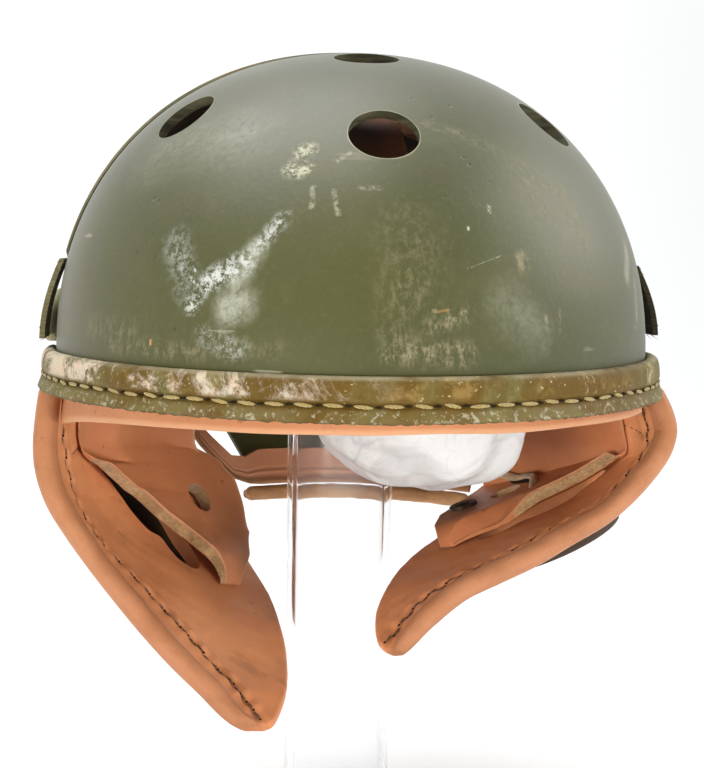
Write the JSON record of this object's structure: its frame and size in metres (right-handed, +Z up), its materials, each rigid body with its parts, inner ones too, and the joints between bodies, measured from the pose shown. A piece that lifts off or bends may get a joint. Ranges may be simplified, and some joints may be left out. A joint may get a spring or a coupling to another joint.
{
  "type": "tanker helmet on a clear display stand",
  "caption": "Domed fibre crew helmet with vent holes, olive brow roll, padded leather ear flaps and neck guard, resting on a clear tube stand with a round base.",
  "frame": {"origin": "centre of the stand base's underside, on the surface it stands on", "axes": "+Z up, -Y toward the front of the helmet, +X toward the wearer's left"},
  "size_m": [0.2364, 0.2662, 0.311],
  "materials": {
    "olive_paint": "painted pressed fibre, semi-matt, worn",
    "olive_leather": "rolled and stitched, worn to tan in places",
    "russet_leather": "soft, slightly shiny, creased",
    "tan_leather": "rolled edge, worn",
    "dark_leather": "dark brown, aged",
    "olive_webbing": "woven, frayed at the end",
    "dark_metal": "dark, worn",
    "white_paper": "crumpled tissue",
    "clear_plastic": "clear and polished"
  },
  "bodies": {
    "root": {"crown_shell": "olive_paint", "brow_roll": "olive_leather", "brow_lining": "russet_leather", "cradle": "russet_leather", "neck_guard": "olive_paint", "neck_guard_binding": "olive_leather", "neck_lining": "russet_leather", "neck_edge": "tan_leather", "crown_strap": "olive_leather", "goggle_tab_right": "olive_webbing", "goggle_tab_left": "olive_webbing", "ear_flap_right": "russet_leather", "ear_pad_right": "russet_leather", "receiver_cup_right": "dark_leather", "ear_flap_left": "russet_leather", "ear_pad_left": "russet_leather", "receiver_cup_left": "dark_leather", "flap_snap": "dark_metal", "paper_wad": "white_paper", "stand_post": "clear_plastic", "stand_base": "clear_plastic"}
  },
  "joints": []
}
